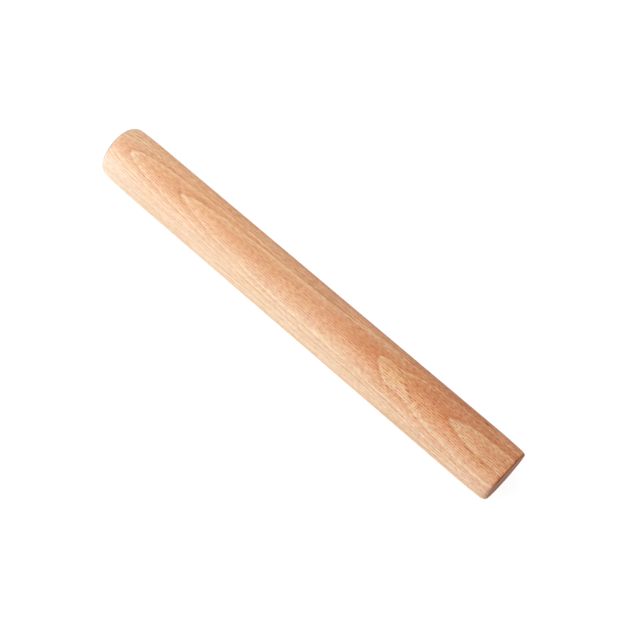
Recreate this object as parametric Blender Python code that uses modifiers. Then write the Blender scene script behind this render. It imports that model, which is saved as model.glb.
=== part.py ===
"""Dumpling rolling pin: one straight bar of beech, turned, eased at both ends and cut square.

Metres, +Z up. The pin lies along X with its middle at the origin, and rests on one of its flats.
"""
import bpy
from math import cos, pi, sin

# Driving sizes of the turned bar
PIN_LENGTH = 0.280
PIN_DIAMETER = 0.033

# Each end is eased: the radius falls by EASE_DROP over EASE_LENGTH, before the rounded edge
EASE_LENGTH = 0.020
EASE_DROP = 0.0005

# Rounding of the edge between the barrel and the flat end face
EDGE_RADIUS = 0.0012

# Steps of the faceted solid: flats round the barrel, and rings along each ease and each rounded edge
BARREL_FLATS = 64
EASE_STEPS = 5
EDGE_STEPS = 5

# Beech, sanded and lightly oiled
BEECH_COLOUR = (0.72, 0.42, 0.24, 1.0)
BEECH_ROUGHNESS = 0.5

MERGE_DISTANCE = 0.000001


def clear_objects():
    for old in list(bpy.data.objects):
        bpy.data.objects.remove(old, do_unlink=True)


def make_collection(name):
    collection = bpy.data.collections.new(name)
    bpy.context.scene.collection.children.link(collection)
    return collection


def beech_material():
    material = bpy.data.materials.new("beech")
    material.use_nodes = True
    shader = material.node_tree.nodes["Principled BSDF"]
    shader.inputs["Base Color"].default_value = BEECH_COLOUR
    shader.inputs["Roughness"].default_value = BEECH_ROUGHNESS
    shader.inputs["Metallic"].default_value = 0.0
    return material


def half_profile():
    """(radius, height) from the middle of the top face down to the start of the straight barrel."""
    half = PIN_LENGTH / 2
    barrel = PIN_DIAMETER / 2
    eased = barrel - EASE_DROP
    points = [(0.0, half)]
    for step in range(EDGE_STEPS + 1):
        angle = pi / 2 * step / EDGE_STEPS
        points.append((
            eased - EDGE_RADIUS + EDGE_RADIUS * sin(angle),
            half - EDGE_RADIUS + EDGE_RADIUS * cos(angle),
        ))
    for step in range(1, EASE_STEPS + 1):
        along = step / EASE_STEPS
        points.append((
            barrel - EASE_DROP * (1 - along) ** 2,
            half - EDGE_RADIUS - EASE_LENGTH * along,
        ))
    return points


def turned_profile():
    """The whole outline, down the outer side from the top face's middle to the bottom face's middle."""
    top = half_profile()
    bottom = [(radius, -height) for radius, height in reversed(top)]
    return top + bottom


def turned_pin(collection, material):
    """The outline turned about its own axis, then laid along X on one of its flats."""
    outline = turned_profile()
    mesh = bpy.data.meshes.new("rolling_pin")
    mesh.from_pydata(
        [(radius, 0.0, height) for radius, height in outline],
        [(i, i + 1) for i in range(len(outline) - 1)],
        [],
    )
    mesh.materials.append(material)
    pin = bpy.data.objects.new("rolling_pin", mesh)
    collection.objects.link(pin)

    turn = pin.modifiers.new("Turn", "SCREW")
    turn.axis = "Z"
    turn.angle = 2 * pi
    turn.steps = BARREL_FLATS
    turn.render_steps = BARREL_FLATS
    turn.use_merge_vertices = True
    turn.merge_threshold = MERGE_DISTANCE
    turn.use_smooth_shade = True

    # Half a flat about its own axis first, so that a flat and not a corner is lowest, then laid down
    half_flat = pi / BARREL_FLATS
    pin.rotation_mode = "ZYX"
    pin.rotation_euler = (0.0, pi / 2, half_flat)
    return pin


clear_objects()
turned_pin(make_collection("dumpling_rolling_pin"), beech_material())
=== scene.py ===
"""A dumpling rolling pin of turned beech, lying on a plain pale table in soft light."""
import math

import bpy
from mathutils import Matrix, Vector


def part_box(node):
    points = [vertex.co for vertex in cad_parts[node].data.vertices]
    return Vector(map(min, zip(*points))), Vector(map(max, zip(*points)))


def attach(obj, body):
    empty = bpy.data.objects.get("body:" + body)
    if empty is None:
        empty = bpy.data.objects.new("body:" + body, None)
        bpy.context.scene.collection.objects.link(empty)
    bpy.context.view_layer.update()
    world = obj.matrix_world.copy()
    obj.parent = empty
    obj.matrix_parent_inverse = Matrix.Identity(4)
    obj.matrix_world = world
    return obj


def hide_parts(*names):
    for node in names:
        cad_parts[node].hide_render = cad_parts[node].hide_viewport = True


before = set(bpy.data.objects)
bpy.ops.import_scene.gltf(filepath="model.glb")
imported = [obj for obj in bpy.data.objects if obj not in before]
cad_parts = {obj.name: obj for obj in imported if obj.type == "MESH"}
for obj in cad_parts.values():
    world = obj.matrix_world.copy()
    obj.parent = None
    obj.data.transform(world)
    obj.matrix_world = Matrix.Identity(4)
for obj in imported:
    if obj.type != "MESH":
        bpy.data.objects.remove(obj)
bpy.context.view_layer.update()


# The camera
# It looks down on the pin from beside its near end, as the photograph does, through a short
# telephoto lens. The pin's middle stands a little left of and above the picture's middle.

PICTURE_PX = 630
PIN_MIDDLE_PX = (303.93, 306.17)
VIEW_AZIMUTH = 42.71
VIEW_ELEVATION = 67.26
# How far in front of the lens the pin's middle lies, in metres
VIEW_DEPTH = 0.76605
LENS_MM = 81.47
SENSOR_MM = 36.0

azimuth = math.radians(VIEW_AZIMUTH)
elevation = math.radians(VIEW_ELEVATION)
view_right = Vector((math.cos(azimuth), math.sin(azimuth), 0.0))
view_level = Vector((-math.sin(azimuth), math.cos(azimuth), 0.0))
view_forward = view_level * math.cos(elevation) - Vector((0.0, 0.0, math.sin(elevation)))
view_up = view_right.cross(view_forward)

px_per_unit = LENS_MM / SENSOR_MM * PICTURE_PX
middle_right = (PIN_MIDDLE_PX[0] - PICTURE_PX / 2) / px_per_unit * VIEW_DEPTH
middle_up = (PICTURE_PX / 2 - PIN_MIDDLE_PX[1]) / px_per_unit * VIEW_DEPTH
camera_place = -(view_right * middle_right + view_up * middle_up + view_forward * VIEW_DEPTH)

camera_data = bpy.data.cameras.new("camera")
camera_data.lens = LENS_MM
camera_data.sensor_width = SENSOR_MM
camera = bpy.data.objects.new("camera", camera_data)
turned = Matrix((view_right, view_up, -view_forward)).transposed()
camera.matrix_world = Matrix.Translation(camera_place) @ turned.to_4x4()
bpy.context.scene.collection.objects.link(camera)
bpy.context.scene.camera = camera


# The pin
# One straight bar of solid beech, turned round, sawn off at both ends and sanded by hand. The
# sanding eases the last two centimetres and rounds the end edges, more on one side than the other.
# Its far and near ends are at -X and +X, and its left and right sides at -Y and +Y.

pin_low, pin_high = (Vector(corner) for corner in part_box("rolling_pin"))
# The CAD bar lies on one of its flats, which are a little nearer to the axis than its corners
CAD_FLATS = 64
PIN_LENGTH = pin_high.x - pin_low.x
PIN_RADIUS = (pin_high.z - pin_low.z) / 2 / math.cos(math.pi / CAD_FLATS)
EASE_LENGTH = 0.020
EASE_DROP = 0.0005
# The rounded edge at places on each end's rim: how far it reaches along the pin, how deep it is,
# and how much the wood tapers towards it over the taper length
FAR_LEFT_EDGE = (0.0016, 0.0005, 0.0006)
FAR_TOP_EDGE = (0.0035, 0.0012, 0.0)
FAR_RIGHT_EDGE = (0.0036, 0.0016, 0.0)
NEAR_LEFT_EDGE = (0.0040, 0.0018, 0.0)
NEAR_TOP_EDGE = (0.0016, 0.0005, 0.0)
NEAR_RIGHT_EDGE = (0.0035, 0.0008, 0.0)
TAPER_LENGTH = 0.007
# Each end is sawn a little long and off square: its slopes over X, Y and Z, and how far along the
# pin the wood shifts with it
FAR_CUT = (-0.001, 0.012, 0.026)
NEAR_CUT = (0.0028, 0.009, 0.034)
CUT_REACH = 0.030
# The unevenness that sanding by hand leaves: its height and how far it is from wave to wave
SANDING_WAVE = 0.00005
SANDING_SPAN = 0.030
SANDING_SEED = 3.0
SIDES = 192
RINGS = 361

MATH = "ShaderNodeMath"
VECTOR = "ShaderNodeVectorMath"
REMAP = "ShaderNodeMapRange"
MIX = "ShaderNodeMix"
NOISE = "ShaderNodeTexNoise"
SPLIT = "ShaderNodeSeparateXYZ"
JOIN = "ShaderNodeCombineXYZ"


def linear(sheet_hex):
    """An sRGB hex colour as linear red, green, blue and alpha."""
    channels = [int(sheet_hex[i:i + 2], 16) / 255 for i in (0, 2, 4)]
    return [c / 12.92 if c <= 0.04045 else ((c + 0.055) / 1.055) ** 2.4 for c in channels] + [1.0]


def add(tree, kind, *values, into=None, out=0, stops=None, points=None, bends="AUTO", **settings):
    """Adds one node and returns its output, or all of them where out is None. Values, numbers or
    sockets, go to its inputs in order, and into gives others by name. Settings are its properties,
    and stops and points shape its ramp or curve."""
    node = tree.nodes.new(kind)
    for name, value in settings.items():
        setattr(node, name, value)
    for key, value in list(enumerate(values)) + list((into or {}).items()):
        if isinstance(value, bpy.types.NodeSocket):
            tree.links.new(value, node.inputs[key])
        else:
            node.inputs[key].default_value = value
    if stops:
        elements = node.color_ramp.elements
        for where, colour in stops[1:-1]:
            elements.new(where)
        for element, (where, colour) in zip(elements, stops):
            element.position = where
            element.color = linear(colour)
    if points:
        curve = node.mapping.curves[0]
        for where, value in points[1:-1]:
            curve.points.new(where, value)
        curve.points[0].location = points[0]
        curve.points[-1].location = points[-1]
        for point in curve.points:
            point.handle_type = bends
        node.mapping.update()
    return node.outputs if out is None else node.outputs[out]


def turned_bar_tree():
    """Geometry Nodes for the bar: rings of points along X, drawn in towards the ends as the
    sanding left them, with each end sawn a little off square."""
    tree = bpy.data.node_groups.new("turned bar", "GeometryNodeTree")
    tree.interface.new_socket("Geometry", in_out="OUTPUT", socket_type="NodeSocketGeometry")
    numbers = ("Length", "Radius", "Ease Length", "Ease Drop", "Cut Reach", "Taper Length",
               "Wave", "Wave Span", "Seed")
    ends = ("Far Left Edge", "Far Top Edge", "Far Right Edge", "Near Left Edge",
            "Near Top Edge", "Near Right Edge", "Far Cut", "Near Cut")
    counts = ("Sides", "Rings")
    inputs = (("Float", numbers), ("Vector", ends), ("Int", counts), ("Material", ("Wood",)))
    for kind, names in inputs:
        for name in names:
            tree.interface.new_socket(name, in_out="INPUT", socket_type="NodeSocket" + kind)
    size = tree.nodes.new("NodeGroupInput").outputs

    # Places along the bar, from one end to the other, crowded towards the ends
    half = add(tree, MATH, size["Length"], 0.5, operation="MULTIPLY")
    along = add(tree, "GeometryNodeSplineParameter")
    side = add(tree, MATH, along, 2.0, -1.0, operation="MULTIPLY_ADD")
    inward = add(tree, MATH, side, operation="ABSOLUTE")
    inward = add(tree, MATH, 1.0, inward, operation="SUBTRACT")
    reach = add(tree, MATH, inward, 2.0, operation="POWER")
    reach = add(tree, MATH, 1.0, reach, operation="SUBTRACT")
    reach = add(tree, MATH, reach, half, operation="MULTIPLY")
    side = add(tree, MATH, side, operation="SIGN")
    along = add(tree, JOIN, add(tree, MATH, side, reach, operation="MULTIPLY"))
    axis = add(tree, "GeometryNodeCurvePrimitiveLine",
               into={"Start": (-1.0, 0.0, 0.0), "End": (1.0, 0.0, 0.0)})
    axis = add(tree, "GeometryNodeResampleCurve", axis, into={"Count": size["Rings"]})
    axis = add(tree, "GeometryNodeSetPosition", axis, into={"Position": along})
    ring = add(tree, "GeometryNodeCurvePrimitiveCircle",
               into={"Resolution": size["Sides"], "Radius": size["Radius"]})
    bar = add(tree, "GeometryNodeCurveToMesh", axis, ring, into={"Fill Caps": True})

    # The ease towards each end, as a depth below the full radius
    place = add(tree, "GeometryNodeInputPosition")
    x, y = add(tree, SPLIT, place, out=None)[:2]
    from_end = add(tree, MATH, x, operation="ABSOLUTE")
    from_end = add(tree, MATH, half, from_end, operation="SUBTRACT")
    ease = add(tree, REMAP, from_end, 0.0, size["Ease Length"], 1.0, 0.0)
    ease = add(tree, MATH, ease, 2.0, operation="POWER")
    ease = add(tree, MATH, ease, size["Ease Drop"], operation="MULTIPLY")

    # The rounded edge, which changes from place to place on the rim, and the taper towards it
    near = add(tree, MATH, x, 0.0, operation="GREATER_THAN")
    edges = []
    for rim in ("Left", "Top", "Right"):
        far_edge, near_edge = size["Far " + rim + " Edge"], size["Near " + rim + " Edge"]
        edges.append(add(tree, MIX, into={"Factor": near, "A": far_edge, "B": near_edge},
                         data_type="VECTOR", out=1))
    left, top, right = edges
    on_right = add(tree, MATH, y, 0.0, operation="GREATER_THAN")
    side = add(tree, MIX, into={"Factor": on_right, "A": left, "B": right},
               data_type="VECTOR", out=1)
    sideways = add(tree, MATH, y, size["Radius"], operation="DIVIDE")
    sideways = add(tree, MATH, sideways, 2.0, operation="POWER")
    rounding = add(tree, MIX, into={"Factor": sideways, "A": top, "B": side},
                   data_type="VECTOR", out=1)
    length, depth, taper = add(tree, SPLIT, rounding, out=None)
    taper = add(tree, REMAP, from_end, 0.0, size["Taper Length"], taper, 0.0)
    edge = add(tree, REMAP, from_end, 0.0, length, 1.0, 0.0)
    edge = add(tree, MATH, edge, operation="ARCSINE")
    edge = add(tree, MATH, edge, operation="COSINE")
    edge = add(tree, MATH, 1.0, edge, operation="SUBTRACT")
    edge = add(tree, MATH, edge, depth, operation="MULTIPLY")
    drop = add(tree, MATH, ease, edge, operation="ADD")
    drop = add(tree, MATH, drop, taper, operation="ADD")
    shrink = add(tree, MATH, drop, size["Radius"], operation="DIVIDE")
    shrink = add(tree, MATH, 1.0, shrink, operation="SUBTRACT")
    shrink = add(tree, JOIN, 1.0, shrink, shrink)
    drawn_in = add(tree, VECTOR, place, shrink, operation="MULTIPLY")

    # The saw cut at each end
    cut = add(tree, MIX, into={"Factor": near, "A": size["Far Cut"], "B": size["Near Cut"]},
              data_type="VECTOR", out=1)
    shift = add(tree, VECTOR, cut, drawn_in, operation="DOT_PRODUCT", out="Value")
    outward = add(tree, MATH, x, operation="SIGN")
    shift = add(tree, MATH, shift, outward, operation="MULTIPLY")
    fade = add(tree, REMAP, from_end, 0.0, size["Cut Reach"], 1.0, 0.0,
               interpolation_type="SMOOTHSTEP")
    shift = add(tree, MATH, shift, fade, operation="MULTIPLY")
    moved = add(tree, VECTOR, drawn_in, add(tree, JOIN, shift), operation="ADD")
    bar = add(tree, "GeometryNodeSetPosition", bar, into={"Position": moved})

    # Sanding by hand leaves the barrel very slightly uneven
    place = add(tree, "GeometryNodeInputPosition")
    place = add(tree, VECTOR, place, size["Wave Span"], operation="DIVIDE")
    uneven = add(tree, NOISE, place, size["Seed"], into={"Scale": 1.0, "Detail": 1.0},
                 noise_dimensions="4D")
    uneven = add(tree, MATH, uneven, -0.5, operation="ADD")
    uneven = add(tree, MATH, uneven, size["Wave"], operation="MULTIPLY")
    normal = add(tree, "GeometryNodeInputNormal")
    offset = add(tree, VECTOR, normal, into={"Scale": uneven}, operation="SCALE")
    bar = add(tree, "GeometryNodeSetPosition", bar, into={"Offset": offset})
    bar = add(tree, "GeometryNodeSetShadeSmooth", bar)
    bar = add(tree, "GeometryNodeRealizeInstances", bar)
    bar = add(tree, "GeometryNodeSetMaterial", bar, into={"Material": size["Wood"]})
    tree.links.new(bar, tree.nodes.new("NodeGroupOutput").inputs["Geometry"])
    return tree


# Beech, flat sawn, turned, sanded fine and lightly oiled. It gives the eye a golden straw colour
# with long pointed tongues where the growth rings come through the top, thin pinkish lines along
# both flanks, and short dark ray flecks in wavy rows all over. It is satin, with no sharp shine.
# Places and sizes inside the wood are in millimetres. Where something changes, four numbers give
# where the change starts and ends, and the value at each.

wood = bpy.data.materials.new("beech, sanded and lightly oiled")
wood.use_nodes = True
tree = wood.node_tree
shader = tree.nodes["Principled BSDF"]

HALF_LENGTH_MM = PIN_LENGTH * 500
RADIUS_MM = PIN_RADIUS * 1000

metres = add(tree, "ShaderNodeTexCoord", out="Object")
place = add(tree, VECTOR, metres, into={"Scale": 1000.0}, operation="SCALE")
x, y, z = add(tree, SPLIT, place, out=None)
unit_x = add(tree, REMAP, x, -HALF_LENGTH_MM, HALF_LENGTH_MM)


def over_pin(values, limit):
    """Points for a curve on unit_x, from values at places along the pin, between plus and minus
    the limit."""
    return [((at + HALF_LENGTH_MM) / 2 / HALF_LENGTH_MM, 0.5 + value / 2 / limit)
            for at, value in values]


# The fibres wander a little from side to side as they run along
WANDER_SPAN = (14.0, 5.0, 5.0)
WANDER = (0.0, 0.6, 0.6)

wander = add(tree, VECTOR, place, WANDER_SPAN, operation="DIVIDE")
wander = add(tree, NOISE, wander, into={"Scale": 1.0, "Detail": 0.0}, out="Color")
wander = add(tree, VECTOR, wander, (-0.5, -0.5, -0.5), operation="ADD")
wander = add(tree, VECTOR, wander, WANDER, operation="MULTIPLY")
wavy = add(tree, VECTOR, place, wander, operation="ADD")
wander_across = add(tree, SPLIT, wander, out=1)

# The heart of the tree lies below the pin and leans to either side of it, by so many degrees at
# each place along it. The wood near the top has a lean of its own, which passes into that of the
# flanks between two angles from the top
HEART_DISTANCE = 60.0
BARK_DISTANCE = HEART_DISTANCE + RADIUS_MM
LEAN_LIMIT = 15.0
FLANK_LEAN = (
    (-140, -4.0), (-115, -5.0), (-90, -5.5), (-70, -6.5), (-50, -8.5), (-30, -10.5),
    (0, -11.7), (28, -11.3), (50, -8.5), (70, -6.0), (84, -4.3), (97, -4.5), (115, -6.5),
    (140, -8.0),
)
TOP_LEAN = (
    (-140, -4.0), (-115, -5.0), (-90, -5.5), (-70, -6.5), (-50, -8.5), (-30, -10.5),
    (-8, -12.0), (12, -11.0), (30, -7.0), (41, -2.0), (51, 0.8), (55, -1.0), (59, -4.0),
    (65, -8.5), (69, -7.0), (75, -3.5), (83, -2.2), (99, -2.5), (109, -1.6), (129, -1.5),
    (140, -3.5),
)
TOP_END, FLANK_START = math.radians(25.0), math.radians(38.0)

flank_lean, top_lean = (
    add(tree, "ShaderNodeFloatCurve", 1.0, unit_x, points=over_pin(leans, LEAN_LIMIT))
    for leans in (FLANK_LEAN, TOP_LEAN)
)
from_top = add(tree, MATH, y, z, operation="ARCTAN2")
from_top = add(tree, MATH, from_top, operation="ABSOLUTE")
near_top = add(tree, REMAP, from_top, TOP_END, FLANK_START, 1.0, 0.0,
               interpolation_type="SMOOTHSTEP")
lean = add(tree, REMAP, near_top, 0.0, 1.0, flank_lean, top_lean)
lean = add(tree, REMAP, lean, 0.0, 1.0, math.radians(-LEAN_LIMIT), math.radians(LEAN_LIMIT))
upright = add(tree, "ShaderNodeVectorRotate", place, into={"Angle": lean}, rotation_type="X_AXIS")
upright = add(tree, VECTOR, upright, (0.0, 0.0, HEART_DISTANCE), operation="ADD")
across = add(tree, VECTOR, upright, (0.0, 1.0, 1.0), operation="MULTIPLY")
from_heart = add(tree, VECTOR, across, operation="LENGTH", out="Value")
sides = add(tree, SPLIT, across, out=None)
around = add(tree, MATH, sides[1], sides[2], operation="ARCTAN2")
around = add(tree, MATH, around, BARK_DISTANCE, operation="MULTIPLY")
off_crest = add(tree, MATH, around, operation="ABSOLUTE")

# The depth of each point in the wood, which grows towards the bark. The grain rises along the pin
# by so many millimetres at each place, so the top comes through one growth ring after another, and
# waves of three sizes, with their length, width and height, make the rings uneven
RISE_LIMIT = 10.0
GRAIN_RISE = (
    (-140, -0.20), (-129, 0.14), (-115, 0.72), (-103, 1.15), (-92.7, 1.46), (-82.8, 1.72),
    (-71, 2.12), (-60, 2.50), (-45, 2.85), (-25, 3.35), (0, 3.75), (28, 4.00), (44, 4.38),
    (52, 4.63), (57, 4.98), (61, 5.25), (69, 5.58), (75, 5.97), (83, 6.57), (90, 7.22),
    (95.8, 7.65), (100.7, 7.98), (106.6, 8.22), (113.5, 8.55), (122.4, 8.82), (129.4, 8.98),
    (136, 9.25), (140, 9.6),
)
RING_WAVES = ((50.0, 8.0, 0.10), (16.0, 1.5, 0.05), (5.0, 0.6, 0.035))

rise = add(tree, "ShaderNodeFloatCurve", 1.0, unit_x, points=over_pin(GRAIN_RISE, RISE_LIMIT))
rise = add(tree, REMAP, rise, 0.0, 1.0, -RISE_LIMIT, RISE_LIMIT)
depth = add(tree, MATH, from_heart, BARK_DISTANCE, operation="SUBTRACT")
depth = add(tree, MATH, depth, rise, operation="ADD")
for length, width, height in RING_WAVES:
    wave = add(tree, VECTOR, place, (length, width, width), operation="DIVIDE")
    wave = add(tree, NOISE, wave, into={"Scale": 1.0, "Detail": 1.0})
    wave = add(tree, REMAP, wave, 0.0, 1.0, -height, height)
    depth = add(tree, MATH, depth, wave, operation="ADD")

# Growth rings: at which depth each of the last few starts, and how thick it is. Older ones are
# narrow and even. From these comes how deep into its own ring each point lies
WIDE_RINGS = ((-1.5, 1.5), (0.0, 1.5), (1.5, 3.1), (4.6, 3.4), (8.0, 3.4))
WIDEST_RING = max(thick for starts, thick in WIDE_RINGS)
OLD_RING = 0.9

start, thickness = WIDE_RINGS[0]
for (before, thick_before), (after, thick_after) in zip(WIDE_RINGS, WIDE_RINGS[1:]):
    passed = add(tree, MATH, depth, after, operation="GREATER_THAN")
    start = add(tree, MATH, passed, after - before, start, operation="MULTIPLY_ADD")
    thickness = add(tree, MATH, passed, thick_after - thick_before, thickness,
                    operation="MULTIPLY_ADD")
in_ring = add(tree, MATH, depth, start, operation="SUBTRACT")
old = add(tree, MATH, in_ring, 0.0, operation="LESS_THAN")
thickness = add(tree, REMAP, old, 0.0, 1.0, thickness, OLD_RING)
old_rings = add(tree, MATH, in_ring, 0.0, operation="MINIMUM")
old_rings = add(tree, MATH, old_rings, OLD_RING, operation="DIVIDE")
old_rings = add(tree, MATH, old_rings, operation="FLOOR")
in_ring = add(tree, MATH, old_rings, -OLD_RING, in_ring, operation="MULTIPLY_ADD")

# The colours across a ring: the thin dark line it starts from, pale spring wood, then the deeper
# orange of summer wood. One ring turns to summer wood at once, and sooner on the pin's right side
RING_COLOURS = (
    (0.00, "D09A6E"), (0.025, "D39F75"), (0.05, "DFB38A"), (0.12, "E2B48B"), (0.22, "DEAA80"),
    (0.34, "DAA077"), (0.70, "D89A6D"), (0.90, "D58F63"), (1.00, "D0855A"),
)
SHARP_RING = WIDE_RINGS[3][0]
SAME_START = 0.1
SHARP_RING_COLOURS = (
    (0.00, "D09A6E"), (0.025, "D39F75"), (0.05, "DFB38A"), (0.12, "E2B48B"), (0.32, "E1B389"),
    (0.35, "D99D70"), (0.70, "D99C6F"), (0.90, "D79768"), (1.00, "D38D60"),
)
SOONER = (-1.5, 3.0, 1.0, 2.6)

season = add(tree, MATH, in_ring, WIDEST_RING, operation="DIVIDE")
colour = add(tree, "ShaderNodeValToRGB", season, stops=RING_COLOURS)
sooner = add(tree, REMAP, y, *SOONER, interpolation_type="SMOOTHSTEP")
sharp = add(tree, MATH, season, sooner, operation="MULTIPLY")
sharp = add(tree, "ShaderNodeValToRGB", sharp, stops=SHARP_RING_COLOURS)
in_sharp_ring = add(tree, MATH, start, SHARP_RING, SAME_START, operation="COMPARE")
colour = add(tree, MIX, into={"Factor": in_sharp_ring, "A": colour, "B": sharp},
             data_type="RGBA", out=2)

# The wood's colour apart from the rings: the mean colour, times these tints along the pin and a
# level that lets them be lighter than it. The left flank is paler, and starts at a Y that changes
# along the pin. The right one is a little lighter at first, then much deeper, and fades again
# towards the underside
MEAN_COLOUR = "DAA378"
ALONG_LEVEL = 1.4
# These tints are partly the wood's own drift and partly painted light: the far end is whiter with
# painted light and sheen from the key lamp's side, and the near end is deeper with painted shade
TINTS_AND_LIGHT_ALONG_PIN = (
    (0.00, "E2F0FF"), (0.09, "E3E7EC"), (0.23, "E3E3E3"), (0.40, "E0E1E0"), (0.54, "E1E3E7"),
    (0.66, "DDD8D4"), (0.77, "DCD5D0"), (0.90, "D9D0C9"), (1.00, "D7CCC5"),
)
# The paler left flank is partly the wood's own colour and partly painted light and sheen from the
# key lamp on that side
LEFT_FLANK_AND_LIGHT = ((0.0, "E2CAB4"), (0.13, "E0BFA1"), (0.5, "E2C1A2"), (0.8, "E2BB99"), (1.0, "E4BB9A"))
LEFT_LIMIT = 5.0
LEFT_START = ((-140, 0.0), (-60, 1.0), (10, 4.5), (60, 1.5), (140, 0.0))
LEFT_END = -15.5
LEFT_AMOUNT = 0.95
# The right flank's deeper colour is partly deeper wood and partly painted shade, deepest towards
# the near end, where that side is turned from the lamps
RIGHT_FLANK_AND_SHADE = (
    (0.0, "E8AE81"), (0.3, "CC8757"), (0.5, "BF7145"), (0.62, "BB7045"), (0.82, "A65830"),
    (0.92, "B0663E"), (1.0, "C47E52"),
)
# The right side is a little lighter at first with painted light
RIGHT_PAINTED_LIGHT = (2.0, 8.0, 1.0, 1.07)
RIGHT_MIX = (3.5, 15.5, 0.0, 0.96)
RIGHT_STEEPNESS = 3.0
RIGHT_BELOW = (-3.0, 6.0, 0.4, 1.0)

mean_colour = linear(MEAN_COLOUR)[:3]
base = add(tree, "ShaderNodeValToRGB", unit_x, stops=TINTS_AND_LIGHT_ALONG_PIN)
base = add(tree, VECTOR, base, [ALONG_LEVEL * level for level in mean_colour], operation="MULTIPLY")
left_flank_and_light = add(tree, "ShaderNodeValToRGB", unit_x, stops=LEFT_FLANK_AND_LIGHT)
left = add(tree, "ShaderNodeFloatCurve", 1.0, unit_x, points=over_pin(LEFT_START, LEFT_LIMIT))
left = add(tree, REMAP, left, 0.0, 1.0, -LEFT_LIMIT, LEFT_LIMIT)
left = add(tree, REMAP, y, left, LEFT_END, 0.0, LEFT_AMOUNT, interpolation_type="SMOOTHSTEP")
base = add(tree, MIX, into={"Factor": left, "A": base, "B": left_flank_and_light}, data_type="RGBA", out=2)
painted_light = add(tree, REMAP, y, *RIGHT_PAINTED_LIGHT)
base = add(tree, VECTOR, base, into={"Scale": painted_light}, operation="SCALE")
right_flank_and_shade = add(tree, "ShaderNodeValToRGB", unit_x, stops=RIGHT_FLANK_AND_SHADE)
right = add(tree, REMAP, y, *RIGHT_MIX)
right = add(tree, MATH, right, RIGHT_STEEPNESS, operation="POWER")
below = add(tree, REMAP, z, *RIGHT_BELOW)
right = add(tree, MATH, right, below, operation="MULTIPLY")
base = add(tree, MIX, into={"Factor": right, "A": base, "B": right_flank_and_shade}, data_type="RGBA", out=2)

# How the markings grow stronger and weaker over the pin. Each fade gives a way over the pin, two
# places along it, and the factor at each. Off crest is the way round the tree, to either side,
# from the line where the rings stand highest
ways = {"along": x, "across": y, "off crest": off_crest}


def faded(value, fades):
    """The value times each of the fades."""
    for way, first, last, at_first, at_last in fades:
        fade = add(tree, REMAP, ways[way], first, last, at_first, at_last)
        value = add(tree, MATH, value, fade, operation="MULTIPLY")
    return value


# The rings stand out from the wood's colour less on the flanks and at the far end
CALM_FLANKS = (("across", -3.0, -9.0, 1.0, 0.6), ("across", 2.0, 8.0, 1.0, 0.9))
CALM_FAR_END = (("along", -140.0, 20.0, 0.5, 1.0),)

calm_flanks = faded(1.0, CALM_FLANKS)
contrast = faded(calm_flanks, CALM_FAR_END)
rings = add(tree, VECTOR, colour, mean_colour, operation="DIVIDE")
rings = add(tree, MIX, into={"Factor": contrast, "A": (1.0, 1.0, 1.0), "B": rings},
            data_type="VECTOR", out=1)
colour = add(tree, VECTOR, base, rings, operation="MULTIPLY")

# Each ring's edge: summer wood that darkens over its last half millimetre, the thin dark line
# itself, and a paler line beyond. The two lines are drawn deeper off the crest, where the surface
# cuts through the rings more steeply and they would be too thin to show
EDGE_WIDTHS = (2.0, 12.0, 0.35, 1.0)
EDGE_LINE = ((0.0, 0.0), (0.12, 0.08), (0.2, 0.80), (0.5, 0.76), (0.8, 0.64), (1.0, 0.5))
EDGE_STRENGTH = 0.10
EDGE_FADES = (("along", -120.0, 0.0, 1.85, 1.0), ("along", 112.0, 134.0, 1.0, 0.4))
LATE_WOOD = (0.5, 0.0, 0.0, -0.05)

edge_width = add(tree, REMAP, off_crest, *EDGE_WIDTHS)
edge = add(tree, REMAP, in_ring, 0.0, edge_width)
edge = add(tree, "ShaderNodeFloatCurve", 1.0, edge, bends="VECTOR", points=EDGE_LINE)
edge = add(tree, REMAP, edge, 0.0, 1.0, -EDGE_STRENGTH, EDGE_STRENGTH)
shade = faded(edge, EDGE_FADES)
to_next = add(tree, MATH, thickness, in_ring, operation="SUBTRACT")
late = add(tree, REMAP, to_next, *LATE_WOOD)
shade = add(tree, MATH, shade, late, operation="ADD")
shade = add(tree, MATH, shade, calm_flanks, operation="MULTIPLY")

# Streaks along the grain: the length and width of each kind, and how strong it is on the crest and
# off it. The fibres are far finer than the picture can show, so they are drawn as coarse as this.
# Nearly all of the noise lies in its middle half, which is spread over the streaks' whole range
STREAKS = ((2.8, 0.52, 0.078, 0.070), (14.0, 0.60, 0.032, 0.060), (50.0, 0.90, 0.012, 0.045))
CREST_TO_FLANK = (5.0, 13.0)
NOISE_SPREAD = (0.26, 0.74, -2.0, 2.0)
STREAK_FADES = (("along", -140.0, -40.0, 0.80, 1.0),)

streaks = 0.0
for length, width, on_crest, on_flank in STREAKS:
    streak = add(tree, VECTOR, wavy, (length, width, width), operation="DIVIDE")
    streak = add(tree, NOISE, streak, into={"Scale": 1.0, "Detail": 1.0})
    streak = add(tree, REMAP, streak, *NOISE_SPREAD)
    amount = add(tree, REMAP, off_crest, *CREST_TO_FLANK, on_crest, on_flank)
    streaks = add(tree, MATH, streak, amount, streaks, operation="MULTIPLY_ADD")
streaks = faded(streaks, STREAK_FADES)

# Ray flecks: the rays are thin upright plates that fan out from the heart, seen from the top as
# short dark dashes in rows along the grain, which wander with it. Real ones are about a tenth of a
# millimetre thick and stand closer, so they are drawn as coarse as they need to be to show. Each
# row has its own place between its neighbours and its own dashes, which shorten at the near end
ROW_SPACING = 1.10
ROW_WAVES = 1.4
ROW_UNEVENNESS = 0.4
ROW_THICKNESS = (0.05, 0.32, 1.0, 0.0)
ROW_SHIFT = 500.0
DASH_LENGTH = 3.0
NEAR_DASH_LENGTH = 2.4
SHORTER_FROM, SHORTER_TO = 40.0, 140.0
DASHES = (0.30, 0.70, 0.0, 0.43)
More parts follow.
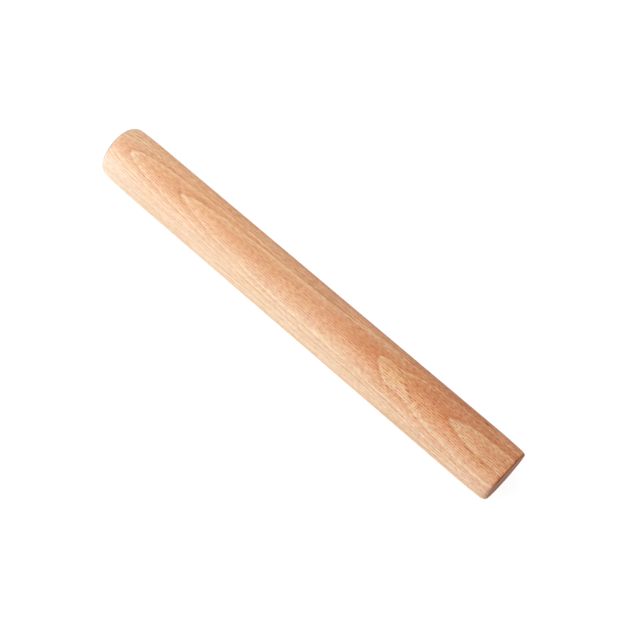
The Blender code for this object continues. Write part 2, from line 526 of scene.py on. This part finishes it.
# The wood between the flecks is lighter by this, so that they leave the mean colour as it is
FLECK_LIFT = 0.032
FLECK_FADES = (
    ("along", -140.0, -50.0, 1.05, 1.0),
    ("off crest", *CREST_TO_FLANK, 1.0, 0.90),
    ("across", -6.0, -12.0, 1.0, 0.66),
)
# They come in stronger and weaker patches
PATCH_SPAN = (20.0, 5.0, 5.0)
PATCH_SEED = 3.0
PATCHES = (0.35, 0.65, 0.82, 1.18)
# Low on each side the surface runs along the rays, where the rows would be broad, and they fade
BROAD_HEIGHT = -RADIUS_MM ** 2 / HEART_DISTANCE
BROAD_ROWS = (1.0, 8.0, 0.8, 0.0)
SIDE_START, SIDE_END = 11.0, 14.5

fan = add(tree, MATH, z, HEART_DISTANCE, operation="ADD")
fan = add(tree, MATH, y, fan, operation="ARCTAN2")
row_waves = add(tree, MATH, wander_across, ROW_WAVES, operation="MULTIPLY")
row = add(tree, MATH, fan, BARK_DISTANCE, row_waves, operation="MULTIPLY_ADD")
row = add(tree, MATH, row, ROW_SPACING, operation="DIVIDE")
index = add(tree, MATH, row, operation="FLOOR")
chance = add(tree, "ShaderNodeTexWhiteNoise", into={"W": index}, noise_dimensions="1D")
off_row = add(tree, MATH, row, index, operation="SUBTRACT")
off_row = add(tree, MATH, off_row, -0.5, operation="ADD")
uneven = add(tree, MATH, chance, -0.5, operation="ADD")
off_row = add(tree, MATH, uneven, ROW_UNEVENNESS, off_row, operation="MULTIPLY_ADD")
off_row = add(tree, MATH, off_row, operation="ABSOLUTE")
fleck = add(tree, REMAP, off_row, *ROW_THICKNESS, interpolation_type="SMOOTHSTEP")
more_dashes = (SHORTER_TO - SHORTER_FROM) * (1 / NEAR_DASH_LENGTH - 1 / DASH_LENGTH)
shorter = add(tree, REMAP, x, SHORTER_FROM, SHORTER_TO, 0.0, more_dashes)
dashes = add(tree, MATH, x, 1 / DASH_LENGTH, shorter, operation="MULTIPLY_ADD")
dashes = add(tree, MATH, chance, ROW_SHIFT, dashes, operation="MULTIPLY_ADD")
dashes = add(tree, NOISE, into={"W": dashes, "Scale": 1.0, "Detail": 1.0}, noise_dimensions="1D")
dashes = add(tree, REMAP, dashes, *DASHES)
fleck = add(tree, MATH, fleck, dashes, operation="MULTIPLY")
fleck = add(tree, MATH, fleck, -FLECK_LIFT, operation="ADD")
fleck = faded(fleck, FLECK_FADES)
patches = add(tree, VECTOR, place, PATCH_SPAN, operation="DIVIDE")
patches = add(tree, NOISE, patches, PATCH_SEED, into={"Scale": 1.0, "Detail": 0.0},
              noise_dimensions="4D")
patches = add(tree, REMAP, patches, *PATCHES)
fleck = add(tree, MATH, fleck, patches, operation="MULTIPLY")
broad = add(tree, MATH, z, -BROAD_HEIGHT, operation="ADD")
broad = add(tree, MATH, broad, operation="ABSOLUTE")
broad = add(tree, REMAP, broad, *BROAD_ROWS, interpolation_type="SMOOTHSTEP")
low_side = add(tree, MATH, y, operation="ABSOLUTE")
low_side = add(tree, REMAP, low_side, SIDE_START, SIDE_END)
broad = add(tree, MATH, broad, low_side, operation="MULTIPLY")
kept = add(tree, MATH, 1.0, broad, operation="SUBTRACT")
fleck = add(tree, MATH, fleck, kept, operation="MULTIPLY")

# Streaks and flecks together are livelier towards the near end and on the right, and calmer on the
# left, more so at the far end
LIVELIER = (("along", 30.0, 75.0, 1.0, 1.35), ("across", 5.0, 11.0, 1.0, 1.5))
LEFT_SIDE = (-6.0, -14.0)
LEFT_CALM = (-100.0, 40.0, 0.75, 0.82)

left_calm = add(tree, REMAP, x, *LEFT_CALM)
fine = add(tree, MATH, streaks, fleck, operation="SUBTRACT")
fine = faded(fine, (*LIVELIER, ("across", *LEFT_SIDE, 1.0, left_calm)))
shade = add(tree, MATH, shade, fine, operation="ADD")

# Marks of their own: place along, degrees from the top, length, width, colour and strength. The
# wide ones are slow changes of colour, and the small ones are dark streaks, pale tips of tongues,
# the pin knot and two worn spots on the near edge. Two wide ones hold painted light: the long pale
# stripe low on the left is a painted highlight, and the deep patch high on the right towards the
# near end is partly deeper wood and partly painted shade
MARKS = (
    (49.0, 30.0, 36.0, 6.5, "E3B48C", 0.50),
    (105.0, 25.0, 36.0, 8.0, "DDA881", 0.35),
    (-125.6, -6.5, 5.5, 4.0, "F2E2CE", 0.32),
    (-86.2, -6.5, 6.0, 2.2, "F0D8BA", 0.38),
    (-77.5, 12.0, 8.0, 1.8, "C07048", 0.36),
    (-126.0, 66.0, 24.0, 8.0, "C98F60", 0.16),
    (6.0, 28.0, 58.0, 3.0, "A96C3C", 0.40),
    (-37.0, 40.0, 32.0, 6.5, "E9BC94", 0.50),
    (16.0, 40.0, 30.0, 6.0, "B9764A", 0.14),
    # Partly deeper wood and partly painted shade, high on the right towards the near end
    (106.0, 50.0, 46.0, 10.0, "B45C24", 0.28),
    (40.0, -97.0, 230.0, 9.0, "DAA678", 0.28),
    (80.0, -25.0, 30.0, 9.0, "D9A070", 0.20),
    (-30.0, -60.0, 64.0, 8.0, "E4B88C", 0.20),
    # A painted highlight, the sheen of the key lamp along the left flank
    (5.0, -79.0, 190.0, 6.0, "F8DCC2", 0.26),
    (124.0, -66.0, 36.0, 12.0, "F0CFB4", 0.24),
    (64.0, -2.0, 22.0, 9.0, "E0A468", 0.38),
    (65.2, 8.0, 2.8, 0.9, "A0400F", 0.65),
    (67.8, 6.5, 2.8, 0.8, "A0400F", 0.60),
    (73.1, -6.0, 2.8, 0.9, "A0400F", 0.65),
    (76.2, -12.0, 3.4, 1.0, "A0400F", 0.65),
    (78.8, -18.5, 3.0, 0.9, "A0400F", 0.60),
    (103.1, -2.5, 6.0, 2.2, "E8D2BE", 0.30),
    (118.5, -22.0, 8.0, 1.0, "93472A", 0.45),
    (128.4, -23.5, 5.0, 1.0, "93472A", 0.45),
    (123.4, 17.5, 8.0, 1.0, "93472A", 0.40),
    (130.0, -20.0, 22.0, 9.0, "C98A5A", 0.30),
    (129.0, 35.0, 34.0, 9.0, "E0B08A", 0.28),
    (90.0, 12.0, 26.0, 12.0, "DFAE86", 0.20),
    (116.7, 47.0, 3.6, 1.9, "98380E", 1.00),
    (139.7, -25.0, 2.6, 2.6, "B8561C", 0.65),
    (139.7, -41.0, 2.2, 2.0, "C4662A", 0.60),
)
# A mark is full up to this part of its half size, and gone at that
MARK_CORE, MARK_END = 0.4, 1.15

for at, degrees, length, width, tint, amount in MARKS:
    turn = math.radians(degrees)
    centre = (at, math.sin(turn) * RADIUS_MM, math.cos(turn) * RADIUS_MM)
    off = add(tree, VECTOR, place, centre, operation="SUBTRACT")
    off = add(tree, VECTOR, off, (length / 2, width / 2, width / 2), operation="DIVIDE")
    off = add(tree, VECTOR, off, operation="LENGTH", out="Value")
    mark = add(tree, REMAP, off, MARK_CORE, MARK_END, amount, 0.0, interpolation_type="SMOOTHSTEP")
    colour = add(tree, MIX, into={"Factor": mark, "A": colour, "B": linear(tint)},
                 data_type="RGBA", out=2)

# Where the surface cuts across the fibres it is darker: red brown on the rounded edge, least on the
# left and at the far end, and greyer on the face, where the rings show as flat arcs. On the face,
# painted shade darkens the lower left and the lower edge, next to the table
END_RIM = "8A3A1E"
RIM_TURN = (0.17, 0.50, 0.0, 0.90)
RIM_FADES = (("along", -1.0, 1.0, 0.3, 1.0), ("across", -15.0, -8.0, 0.3, 1.0))
END_GRAIN = "B58672"
END_PAINTED_SHADE = "6E4834"
LOWER_LEFT = (6.0, -18.0, 0.0, 0.35)
EDGE_START, EDGE_END = 11.0, 16.0
LOWER_START, LOWER_END = 0.0, -5.0
LOWER_EDGE = 0.8
FACE_START, FACE_END = 0.93, 0.995

normal = add(tree, "ShaderNodeTexCoord", out="Normal")
cut_across = add(tree, MATH, add(tree, SPLIT, normal), operation="ABSOLUTE")
rim = add(tree, REMAP, cut_across, *RIM_TURN, interpolation_type="SMOOTHSTEP")
rim = faded(rim, RIM_FADES)
colour = add(tree, MIX, into={"Factor": rim, "A": colour, "B": linear(END_RIM)},
             data_type="RGBA", out=2)
# Painted shade on the end face: darker towards the lower left, and along the lower edge by the
# table
lower_left = add(tree, MATH, y, z, operation="ADD")
lower_left = add(tree, REMAP, lower_left, *LOWER_LEFT)
from_axis = add(tree, JOIN, 0.0, y, z)
from_axis = add(tree, VECTOR, from_axis, operation="LENGTH", out="Value")
at_edge = add(tree, REMAP, from_axis, EDGE_START, EDGE_END)
below = add(tree, REMAP, z, LOWER_START, LOWER_END)
lower_edge = add(tree, MATH, at_edge, below, operation="MULTIPLY")
lower_edge = add(tree, MATH, lower_edge, LOWER_EDGE, operation="MULTIPLY")
painted_shade = add(tree, MATH, lower_left, lower_edge, operation="MAXIMUM")
end_colour = add(tree, MIX, into={"Factor": painted_shade, "A": linear(END_GRAIN), "B": linear(END_PAINTED_SHADE)},
                 data_type="RGBA", out=2)
end_colour = add(tree, VECTOR, end_colour, rings, operation="MULTIPLY")
face = add(tree, REMAP, cut_across, FACE_START, FACE_END, interpolation_type="SMOOTHSTEP")
colour = add(tree, MIX, into={"Factor": face, "A": colour, "B": end_colour},
             data_type="RGBA", out=2)

# What a darker marking does to red, green and blue, as with oil that soaks in deeper there, and
# faint pinkish and yellowish tinges, with their length and width
DEEPER = (0.60, 1.12, 1.50)
TINGE_SPAN = (2.2, 0.9, 0.9)
TINGE_SEED = 7.0
TINGE = (0.0, -0.028, 0.052)

detail = add(tree, VECTOR, DEEPER, into={"Scale": shade}, operation="SCALE")
tinge = add(tree, VECTOR, place, TINGE_SPAN, operation="DIVIDE")
tinge = add(tree, NOISE, tinge, TINGE_SEED, into={"Scale": 1.0, "Detail": 1.0},
            noise_dimensions="4D")
tinge = add(tree, REMAP, tinge, *NOISE_SPREAD)
tinge = add(tree, VECTOR, TINGE, into={"Scale": tinge}, operation="SCALE")
detail = add(tree, VECTOR, detail, tinge, operation="ADD")
detail = add(tree, VECTOR, detail, (1.0, 1.0, 1.0), operation="ADD")
colour = add(tree, VECTOR, colour, detail, operation="MULTIPLY")
tree.links.new(colour, shader.inputs["Base Color"])

# The sanded fibres stand a few thousandths of a millimetre proud, and the dense dark ones are a
# little smoother. The sawn end grain is the roughest
ROUGHNESS = (-0.4, 0.3, 0.55, 0.68)
END_ROUGHNESS = 0.85
FIBRE_RELIEF = 0.00001
RELIEF_STRENGTH = 0.5
OILED_WOOD_IOR = 1.4

rough = add(tree, REMAP, shade, *ROUGHNESS)
rough = add(tree, REMAP, face, 0.0, 1.0, rough, END_ROUGHNESS)
tree.links.new(rough, shader.inputs["Roughness"])
relief = add(tree, "ShaderNodeBump",
             into={"Height": shade, "Strength": RELIEF_STRENGTH, "Distance": FIBRE_RELIEF})
tree.links.new(relief, shader.inputs["Normal"])
shader.inputs["IOR"].default_value = OILED_WOOD_IOR


def plain_mesh(name, maker, values):
    """An object with the plain mesh that a Geometry Nodes tree makes from these inputs."""
    holder = bpy.data.objects.new(name + "_maker", bpy.data.meshes.new(name + "_maker"))
    bpy.context.scene.collection.objects.link(holder)
    modifier = holder.modifiers.new("Make", "NODES")
    modifier.node_group = maker
    for item in maker.interface.items_tree:
        if item.in_out == "INPUT":
            modifier[item.identifier] = values[item.name]
    evaluated = holder.evaluated_get(bpy.context.evaluated_depsgraph_get())
    mesh = bpy.data.meshes.new_from_object(evaluated)
    bpy.data.objects.remove(holder)
    mesh.name = name
    piece = bpy.data.objects.new(name, mesh)
    bpy.context.scene.collection.objects.link(piece)
    return piece


pin = plain_mesh("turned_pin", turned_bar_tree(), {
    "Length": PIN_LENGTH,
    "Radius": PIN_RADIUS,
    "Ease Length": EASE_LENGTH,
    "Ease Drop": EASE_DROP,
    "Far Left Edge": FAR_LEFT_EDGE,
    "Far Top Edge": FAR_TOP_EDGE,
    "Far Right Edge": FAR_RIGHT_EDGE,
    "Near Left Edge": NEAR_LEFT_EDGE,
    "Near Top Edge": NEAR_TOP_EDGE,
    "Near Right Edge": NEAR_RIGHT_EDGE,
    "Far Cut": FAR_CUT,
    "Near Cut": NEAR_CUT,
    "Cut Reach": CUT_REACH,
    "Taper Length": TAPER_LENGTH,
    "Wave": SANDING_WAVE,
    "Wave Span": SANDING_SPAN,
    "Seed": SANDING_SEED,
    "Sides": SIDES,
    "Rings": RINGS,
    "Wood": wood,
})
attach(pin, "root")
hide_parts("rolling_pin")


# The table and the light
# A table of matt white board under a white sky, an even white with only the pin's soft shadow on
# it. Two large soft lamps stand beyond the pin's far end, the key low on the left and a weaker one
# high on the right, and leave the near end face in shade.

TABLE_SIZE = 20.0
TABLE_COLOUR = "E7E7E7"
# Seen directly, the table glows at just under white, and this darker grey catches the pin's shadow
TABLE_GLOW = 0.90
SHADOW_COLOUR = "7C7C7C"
WHITE = "FFFFFF"
SKY_LEVEL = 0.45
# Name, place, size and watts
SOFT_LAMPS = (
    ("key", (-0.45, -0.75, 0.30), 0.8, 6.5),
    ("fill", (-0.45, 0.25, 0.95), 0.9, 5.8),
)

half_table = TABLE_SIZE / 2
corners = [(half_table * a, half_table * b, -PIN_RADIUS)
           for a, b in ((-1, -1), (1, -1), (1, 1), (-1, 1))]
table_mesh = bpy.data.meshes.new("table")
table_mesh.from_pydata(corners, [], [(0, 1, 2, 3)])
table = bpy.data.objects.new("table", table_mesh)
bpy.context.scene.collection.objects.link(table)


def seen_directly(tree):
    """1 for rays of the camera, reflections and transmission, which see the plain white, else 0."""
    path = tree.nodes.new("ShaderNodeLightPath").outputs
    either = add(tree, MATH, path["Is Camera Ray"], path["Is Glossy Ray"], operation="MAXIMUM")
    return add(tree, MATH, either, path["Is Transmission Ray"], operation="MAXIMUM")


board = bpy.data.materials.new("matt white board")
board.use_nodes = True
board_tree = board.node_tree
board_tree.nodes.remove(board_tree.nodes["Principled BSDF"])
plain = add(board_tree, "ShaderNodeBsdfDiffuse", linear(TABLE_COLOUR))
dim = add(board_tree, "ShaderNodeBsdfDiffuse", linear(SHADOW_COLOUR))
glow = add(board_tree, "ShaderNodeEmission", linear(WHITE), TABLE_GLOW)
bright = add(board_tree, "ShaderNodeAddShader", dim, glow)
shown = add(board_tree, "ShaderNodeMixShader", seen_directly(board_tree), plain, bright)
board_tree.links.new(shown, board_tree.nodes["Material Output"].inputs["Surface"])
table_mesh.materials.append(board)

world = bpy.data.worlds.new("white sky")
world.use_nodes = True
bpy.context.scene.world = world
sky_tree = world.node_tree
background = sky_tree.nodes["Background"]
level = add(sky_tree, REMAP, seen_directly(sky_tree), 0.0, 1.0, SKY_LEVEL, 1.0)
sky_tree.links.new(level, background.inputs["Strength"])
background.inputs["Color"].default_value = linear(WHITE)

for name, lamp_place, lamp_size, watts in SOFT_LAMPS:
    lamp_data = bpy.data.lights.new(name, "AREA")
    lamp_data.shape = "SQUARE"
    lamp_data.size = lamp_size
    lamp_data.energy = watts
    lamp = bpy.data.objects.new(name, lamp_data)
    aimed = (-Vector(lamp_place)).to_track_quat("-Z", "Y").to_matrix().to_4x4()
    lamp.matrix_world = Matrix.Translation(lamp_place) @ aimed
    bpy.context.scene.collection.objects.link(lamp)

bpy.context.scene.view_settings.view_transform = "Standard"
